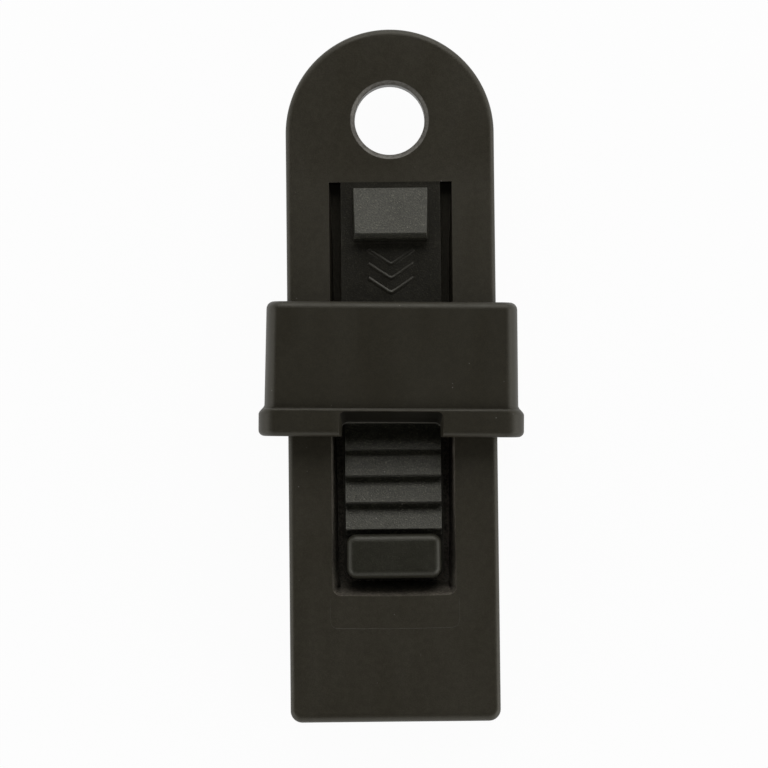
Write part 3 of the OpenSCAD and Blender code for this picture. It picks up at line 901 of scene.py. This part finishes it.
def gate_nub(name, spot, way, r, height):
    """Low round nub where the plastic came in: a dome, its height times 1 - u^2 over the
    radius r u, turned round the way it points."""
    way = np.asarray(way, float)
    side = np.array([1.0, 0, 0])
    other = np.cross(way, side)
    turn = np.linspace(0, 2 * np.pi, 20, endpoint=False)
    u = np.array([1.0, 1.0, 0.85, 0.6, 0.3, 0.05])
    rise = np.array([-0.3, 0, *(height * (1 - u[2:] ** 2))])
    round_way = np.cos(turn)[:, None] * side + np.sin(turn)[:, None] * other
    points = (np.asarray(spot, float) + way * rise[:, None, None]
              + r * u[:, None, None] * round_way)
    piece = make_piece(name, points.reshape(-1, 3), tube_faces(len(u), len(turn)))
    finish_shading(piece, 60)
    return piece


def head_seam():
    """Parting line half way up the head: a faint bead round its half circle."""
    r = BODY_W / 2
    turn = np.linspace(0, np.pi, 61)
    x = np.concatenate([[r, r], r * np.cos(turn), [-r, -r]])
    y = np.concatenate([[-ROOT_REACH + 0.3, -5], ARC_CENTRE + r * np.sin(turn),
                        [-5, -ROOT_REACH + 0.3]])
    z = np.zeros(len(x))
    out = np.column_stack([x, np.where(y > ARC_CENTRE, y - ARC_CENTRE, 0), z])
    out /= np.linalg.norm(out, axis=1)[:, None]
    return bead("head_parting_line", np.column_stack([x, y, z]), out, SEAM_W, SEAM_H)


mouth_gate = gate_nub("mouth_gate_nub", (0.7, -JAW_REACH, 10.4), (0, -1, 0), 0.55, 0.14)
head_gate = gate_nub("head_gate_nub", (-0.2, ARC_CENTRE + BODY_W / 2, 0), (0, 1, 0), 0.5, 0.12)
insert = insert_line()
seam = head_seam()
for piece, carrier in ((mouth_gate, "upper_jaw"), (insert, "upper_jaw"), (head_gate, "head"),
                       (seam, "head")):
    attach(piece, carrier)

# ---- Camera, floor and light ----

VIEW_CENTRE = Vector((-1.381, -44.14, 0)) * MM
FRAME_W = 127.82 * MM
CAMERA_AWAY = 1000 * MM
CAMERA_ROLL = np.radians(-0.595)
PLANE_Z = 8 * MM
SENSOR_W = 36

camera_data = bpy.data.cameras.new("camera")
camera_data.sensor_fit = "HORIZONTAL"
camera_data.sensor_width = SENSOR_W
camera_data.lens = SENSOR_W * CAMERA_AWAY / FRAME_W
camera_data.clip_end = 20
camera = placed("camera", camera_data)
camera.location = VIEW_CENTRE + Vector((0, 0, PLANE_Z + CAMERA_AWAY))
camera.rotation_euler = (0, 0, CAMERA_ROLL)
bpy.context.scene.camera = camera


WHITE = (1, 1, 1, 1)


class Shading:
    """Short way to place nodes in a tree and to join them."""

    def __init__(self, tree):
        self.tree = tree

    def add(self, kind, sockets=None, **settings):
        """Places a node with its settings; sockets gives values or links by name or number."""
        node = self.tree.nodes.new(kind)
        for key, value in settings.items():
            setattr(node, key, value)
        for socket, value in (sockets or {}).items():
            self.put(node, socket, value)
        return node

    def put(self, node, socket, value):
        """Gives a socket a value or joins another node's output to it."""
        target = node.inputs[socket]
        if isinstance(value, bpy.types.NodeSocket):
            self.tree.links.new(value, target)
        else:
            target.default_value = value

    def maths(self, operation, one, two):
        """Output of a Math node on two values."""
        return self.add("ShaderNodeMath", {0: one, 1: two}, operation=operation).outputs[0]

    def times(self, one, two):
        """Output of a Math node that multiplies."""
        return self.maths("MULTIPLY", one, two)

    def blended(self, share, one, two):
        """Output of a mix of colours that goes from one to two with the share."""
        return self.add("ShaderNodeMix", {0: share, 6: one, 7: (*two, 1)},
                        data_type="RGBA").outputs[2]

    def ranged(self, value, low, high, to_low=0.0, to_high=1.0, soft=False):
        """Output of a range from low..high to to_low..to_high, held at its ends."""
        return self.add("ShaderNodeMapRange", {
            "Value": value, "From Min": low, "From Max": high, "To Min": to_low,
            "To Max": to_high
        }, interpolation_type="SMOOTHSTEP" if soft else "LINEAR").outputs[0]

    def noise(self, place, scale, detail, **sockets):
        """Output of a noise texture."""
        return self.add("ShaderNodeTexNoise", {
            "Vector": place, "Scale": scale, "Detail": detail, **sockets}).outputs[0]


def lamp(name, place, size, watts):
    """Soft rectangular lamp at a place in millimetres, turned to the middle of the clip."""
    data = bpy.data.lights.new(name, "AREA")
    data.shape = "RECTANGLE"
    data.size, data.size_y = size[0] * MM, size[1] * MM
    data.energy = watts
    made = placed(name, data)
    made.location = Vector(place) * MM
    towards = VIEW_CENTRE - made.location
    made.rotation_euler = towards.to_track_quat("-Z", "Y").to_euler()
    made.visible_camera = False


lamp("head lamp", (45, 330, 245), (420, 320), 0.8)
lamp("left lamp", (-640, -310, 230), (700, 440), 1.3)
lamp("right lamp", (640, -310, 230), (700, 440), 1.7)
lamp("mouth lamp", (0, -500, 330), (600, 280), 0.28)


def light_tent():
    """World: a soft light that is pale round the horizon, dim overhead, where the camera
    stands, and dimmer at the mouth than at the head. Reflections see the horizon white, a
    little brighter on the right, and the camera sees plain white."""
    world = bpy.data.worlds.new("light tent")
    world.use_nodes = True
    shade = Shading(world.node_tree)
    shade.tree.nodes.clear()
    way = shade.add("ShaderNodeTexCoord").outputs["Object"]
    parts = shade.add("ShaderNodeSeparateXYZ", {0: way}).outputs
    path = shade.add("ShaderNodeLightPath").outputs
    level = shade.times(shade.ranged(parts["Z"], 0.0, 0.9, 1.4, 0.03),
                        shade.ranged(parts["Y"], -0.7, 0.7, 0.25, 1.0))
    mirrored = shade.times(shade.ranged(parts["Z"], 0.25, 0.8, 1.0, 0.02, soft=True),
                           shade.ranged(parts["X"], -0.9, 0.9, 0.8, 1.15))
    tent, gloss, white = (
        shade.add("ShaderNodeBackground", {"Color": WHITE, "Strength": strength}).outputs[0]
        for strength in (level, mirrored, 1.0)
    )
    lit = shade.add("ShaderNodeMixShader", {0: path["Is Glossy Ray"], 1: tent, 2: gloss})
    both = shade.add("ShaderNodeMixShader", {
        0: path["Is Camera Ray"], 1: lit.outputs[0], 2: white})
    shade.add("ShaderNodeOutputWorld", {"Surface": both.outputs[0]})
    return world


bpy.context.scene.world = light_tent()


FLOOR_WHITE_SEEN = 0.96
FLOOR_WHITE_MIRRORED = 0.8
FLOOR_HALF_W = 3000.0


def plain_floor():
    """Pale floor: white to the camera and to reflections, with a little matte white that
    takes the shadow."""
    material = bpy.data.materials.new("pale floor")
    material.use_nodes = True
    shade = Shading(material.node_tree)
    shade.tree.nodes.clear()
    matte = shade.add("ShaderNodeBsdfDiffuse", {"Color": (0.95, 0.95, 0.95, 1)})
    white = shade.add("ShaderNodeEmission", {"Color": WHITE, "Strength": 1.0})
    path = shade.add("ShaderNodeLightPath").outputs
    seen = shade.maths("ADD", shade.times(path["Is Camera Ray"], FLOOR_WHITE_SEEN),
                       shade.times(path["Is Glossy Ray"], FLOOR_WHITE_MIRRORED))
    both = shade.add("ShaderNodeMixShader", {
        0: seen, 1: matte.outputs[0], 2: white.outputs[0]})
    shade.add("ShaderNodeOutputMaterial", {"Surface": both.outputs[0]})
    return material


floor = make_piece("floor", [
    (x * FLOOR_HALF_W, y * FLOOR_HALF_W, cad_box[0][2] / MM) for x, y, _ in CORNERS
], [[3, 0, 1, 2]])
floor.data.materials.append(plain_floor())

# ---- Finishes ----

# Colours, among them the colour of the painted glints, how far in wear reaches (metres), how
# strongly wear and dust cover, and how much smears and wear change the roughness
PAINTED_GLINT_COLOUR = (0.105, 0.103, 0.074)
DUST_COLOUR = (0.22, 0.21, 0.19)
SHEEN_COLOUR = (1.0, 0.98, 0.88, 1)
RUBBED_REACH = 0.00035
RUBBED_SHARE = 0.6
DUST_SHARE = 0.5
SMEAR_GLOSS = 0.05
RUBBED_GLOSS = 0.08


def new_group(name, inputs, outputs):
    """Node group with a vector input Place, further float inputs and float outputs."""
    tree = bpy.data.node_groups.new(name, "ShaderNodeTree")
    tree.interface.new_socket("Place", in_out="INPUT", socket_type="NodeSocketVector")
    for way, sockets in (("INPUT", inputs), ("OUTPUT", outputs)):
        for socket in sockets:
            tree.interface.new_socket(socket, in_out=way, socket_type="NodeSocketFloat")
    shade = Shading(tree)
    return shade, shade.add("NodeGroupInput").outputs, shade.add("NodeGroupOutput")


def grain_group():
    """Skin of a spark-eroded mould: Height is fine noise with a coarser swell, Pale is its
    high spots, and Glint the few sharp ones, which get painted glints and less roughness."""
    shade, given, out = new_group("moulded grain", ["Fineness"], ["Height", "Pale", "Glint"])
    fine = shade.noise(given["Place"], given["Fineness"], 2.0, Roughness=0.6)
    wide = shade.noise(given["Place"], shade.times(given["Fineness"], 0.2), 2.0)
    height = shade.maths("ADD", shade.times(fine, 0.7), shade.times(wide, 0.3))
    shade.put(out, "Height", height)
    shade.put(out, "Pale", shade.ranged(height, 0.4, 0.62, soft=True))
    shade.put(out, "Glint", shade.ranged(fine, 0.6, 0.72, soft=True))
    return shade.tree


def wear_group():
    """Edges rubbed by use: the share by which the surface turns away from its surroundings,
    broken up by noise."""
    shade, given, out = new_group("rubbed edges", [], ["Rubbed"])
    here = shade.add("ShaderNodeNewGeometry").outputs["Normal"]
    around = shade.add("ShaderNodeBevel", {"Radius": RUBBED_REACH}, samples=4).outputs[0]
    alike = shade.add("ShaderNodeVectorMath", {0: here, 1: around}, operation="DOT_PRODUCT")
    turned = shade.ranged(alike.outputs["Value"], 0.995, 0.9)
    patches = shade.noise(given["Place"], 900.0, 3.0)
    shade.put(out, "Rubbed", shade.times(turned, shade.ranged(patches, 0.25, 0.65)))
    return shade.tree


def handling_group():
    """Marks of handling: Smear is broad cloudy patches, drawn out along the clip as the
    plastic flowed, and Dust is a thin scatter of tiny specks on faces that look up."""
    shade, given, out = new_group("handling marks", [], ["Smear", "Dust"])
    drawn = shade.add("ShaderNodeVectorMath", {0: given["Place"], 1: (1.0, 0.35, 1.0)},
                      operation="MULTIPLY").outputs[0]
    shade.put(out, "Smear", shade.noise(drawn, 150.0, 4.0, Distortion=0.6))
    cells = shade.add("ShaderNodeTexVoronoi", {
        "Vector": given["Place"], "Scale": 700.0}).outputs
    chosen = shade.add("ShaderNodeSeparateColor", {0: cells["Color"]}).outputs[0]
    size = shade.ranged(chosen, 0.8, 1.0, 0.0, 0.1)
    speck = shade.ranged(shade.maths("SUBTRACT", size, cells["Distance"]), 0.0, 0.03)
    facing = shade.add("ShaderNodeNewGeometry").outputs["Normal"]
    up = shade.add("ShaderNodeSeparateXYZ", {0: facing}).outputs["Z"]
    shade.put(out, "Dust", shade.times(speck, shade.ranged(up, 0.5, 0.9)))
    return shade.tree


GRAIN, WEAR, HANDLING = grain_group(), wear_group(), handling_group()


def moulded_plastic(name, deep, pale, rubbed, roughness, fineness, depth, glint=0.0):
    """Black plastic. Its colour goes from deep to pale with the grain, paler still on painted
    glints, to rubbed on worn edges and to grey on dust; glints, smears and wear change its
    gloss."""
    material = bpy.data.materials.new(name)
    material.use_nodes = True
    shade = Shading(material.node_tree)
    surface = shade.tree.nodes["Principled BSDF"]
    shade.put(surface, "Specular Tint", SHEEN_COLOUR)
    place = shade.add("ShaderNodeTexCoord").outputs["Object"]
    skin, wear, marks = (shade.add("ShaderNodeGroup", {"Place": place}, node_tree=group)
                         for group in (GRAIN, WEAR, HANDLING))
    shade.put(skin, "Fineness", fineness)
    grain, rub, marks = skin.outputs, wear.outputs["Rubbed"], marks.outputs
    colour = shade.blended(grain["Pale"], (*deep, 1), pale)
    # Painted glints: a paler colour on the grain's sharp high spots, standing in for
    # highlights
    colour = shade.blended(shade.times(grain["Glint"], 3 * glint), colour, PAINTED_GLINT_COLOUR)
    colour = shade.blended(shade.times(rub, RUBBED_SHARE), colour, rubbed)
    colour = shade.blended(shade.times(marks["Dust"], DUST_SHARE), colour, DUST_COLOUR)
    shade.put(surface, "Base Color", colour)
    gloss = shade.ranged(marks["Smear"], 0.3, 0.7, roughness - SMEAR_GLOSS,
                         roughness + SMEAR_GLOSS)
    gloss = shade.maths("SUBTRACT", gloss, shade.times(grain["Glint"], glint))
    gloss = shade.maths("SUBTRACT", gloss, shade.times(rub, RUBBED_GLOSS))
    shade.put(surface, "Roughness", gloss)
    bump = shade.add("ShaderNodeBump", {
        "Height": grain["Height"], "Strength": 1.0, "Distance": depth})
    shade.put(surface, "Normal", bump.outputs[0])
    return material


body_finish = moulded_plastic(
    "body plastic", (0.0274, 0.0237, 0.0158), (0.0381, 0.0337, 0.0230), (0.058, 0.053, 0.045),
    0.44, 5200.0, 1.8e-5)
# Paler copy of the black plastic for the latch pocket: painted fill light in the recess
pocket_painted_light_finish = moulded_plastic(
    "pocket plastic with painted light", (0.060, 0.053, 0.042), (0.145, 0.129, 0.104), (0.060, 0.054, 0.046),
    0.6, 2600.0, 3e-5, 0.2)
# Paler plastic on the eyelet's rims
eyelet_finish = moulded_plastic(
    "eyelet plastic", (0.088, 0.082, 0.072), (0.145, 0.136, 0.121), (0.170, 0.160, 0.143),
    0.42, 1800.0, 3e-5)
# Much darker copy of the body plastic for the tongue, its root and chevrons: painted shade
tongue_painted_shade_finish = moulded_plastic(
    "tongue plastic in painted shade", (0.0068, 0.0059, 0.0038), (0.0145, 0.0129, 0.0085),
    (0.050, 0.046, 0.039), 0.40, 4200.0, 5e-5, 0.08)
# Darker copy of the body plastic for the ramp and ratchet, with coarser grain: painted shade,
# plus strong painted glints
ramp_rack_painted_shade_finish = moulded_plastic(
    "coarse tongue plastic in painted shade", (0.0063, 0.0061, 0.0038), (0.0228, 0.0224, 0.0154),
    (0.060, 0.058, 0.050), 0.42, 3800.0, 1e-4, 0.25)
# Darker copy of the body plastic for the button, with pale rubbed edges: painted shade
button_painted_shade_finish = moulded_plastic(
    "button plastic in painted shade", (0.0150, 0.0142, 0.0092), (0.0240, 0.0232, 0.0158),
    (0.170, 0.163, 0.147), 0.44, 4600.0, 3e-5, 0.05)
# Much darker copy of the collar plastic for the notch's inner end: painted shade in the recess
notch_painted_shade_finish = moulded_plastic(
    "notch plastic in painted shade", (0.0050, 0.0043, 0.0028), (0.0090, 0.0078, 0.0052), (0.050, 0.046, 0.039),
    0.42, 5600.0, 1.3e-5)
collar_finish = moulded_plastic(
    "collar plastic", (0.0190, 0.0163, 0.0098), (0.0270, 0.0233, 0.0147),
    (0.054, 0.049, 0.041), 0.50, 5600.0, 1.3e-5)


def dress(finish, *pieces):
    """Gives each piece one finish."""
    for piece in pieces:
        piece.data.materials.clear()
        piece.data.materials.append(finish)


dress(body_finish, upper, lower, upper_grip, lower_grip, mouth_gate, head_gate, insert, seam)
# Tongue and chevrons in the darker copy of the plastic: painted shade
dress(tongue_painted_shade_finish, tongue, *chevrons)
# Ramp and ratchet in the darker copy of the plastic: painted shade and painted glints
dress(ramp_rack_painted_shade_finish, ramp, rack)
# Button in the darker copy of the plastic: painted shade
dress(button_painted_shade_finish, button)
dress(collar_finish, collar, pawl)


def dress_parts(piece, *parts):
    """Gives faces of a piece further finishes: each part is a finish and a rule that picks
    faces by their middle (x, y, z in millimetres); where rules meet, the last holds."""
    mesh = piece.data
    x, y, z = read(mesh.polygons, "center", 3).T / MM
    chosen = np.zeros(len(mesh.polygons), np.int32)
    for finish, rule in parts:
        mesh.materials.append(finish)
        chosen[rule(x, y, z)] = len(mesh.materials) - 1
    mesh.polygons.foreach_set("material_index", chosen)
    mesh.update()


def in_pocket(x, y, z):
    """Floor and walls of the latch pocket, from under the collar to its end wall, which take
    the pocket's painted fill light.
    """
    sunk = face_z(-y) - z
    return (np.abs(x) < POCKET_W / 2 + 0.02) & (-y > TONGUE_FULL) & (
        -y < POCKET_REACH + 0.15) & (sunk > 0.45) & (sunk < 9)


def on_root(x, y, z):
    """Root of the tongue, between the two slots, which takes the tongue's painted shade."""
    return (np.abs(x) < TONGUE_W / 2 + 0.02) & (-y > JAW_ROOT) & (-y < STOP_END + 0.02) & (
        face_z(-y) - z < TONGUE_ROOT_T - 0.1)


def on_eyelet_rim(x, y, z):
    """Rims of the eyelet, which get a paler finish."""
    return (np.hypot(x, y) < EYELET_R + EYELET_RIM_W) & (
        np.abs(z) > HEAD_T / 2 - EYELET_RIM_H - 0.02) & (np.abs(z) < HEAD_T / 2 - 0.001)


def in_notch(x, y, z):
    """Inner end of the collar's notch, from the flange's top down to the pawl's ledge, which
    takes the notch's painted shade.
    """
    return (np.abs(x) < NOTCH_W / 2 - 0.3) & (z > 8) & (z < FLANGE_H / 2 - 0.25) & (
        -y > COLLAR_FRONT - NOTCH_L) & (-y < PAWL_TIP + 0.02)


dress_parts(upper, (pocket_painted_light_finish, in_pocket), (tongue_painted_shade_finish, on_root),
            (eyelet_finish, on_eyelet_rim))
dress_parts(collar, (notch_painted_shade_finish, in_notch))


def set_askew(piece):
    """Turns and shifts a piece of the collar in its plane, within its play on the jaws."""
    points = read(piece.data.vertices, "co", 3)
    middle = np.array([0, -(COLLAR_FRONT + COLLAR_BACK) / 2]) * MM
    x, y = (points[:, :2] - middle).T
    c, s = circle(COLLAR_ASKEW)
    points[:, :2] = np.column_stack([c * x - s * y, s * x + c * y]) + middle + COLLAR_OFF * MM
    place_points(piece.data, points)


set_askew(collar)
set_askew(pawl)

bpy.context.scene.view_settings.view_transform = "Standard"
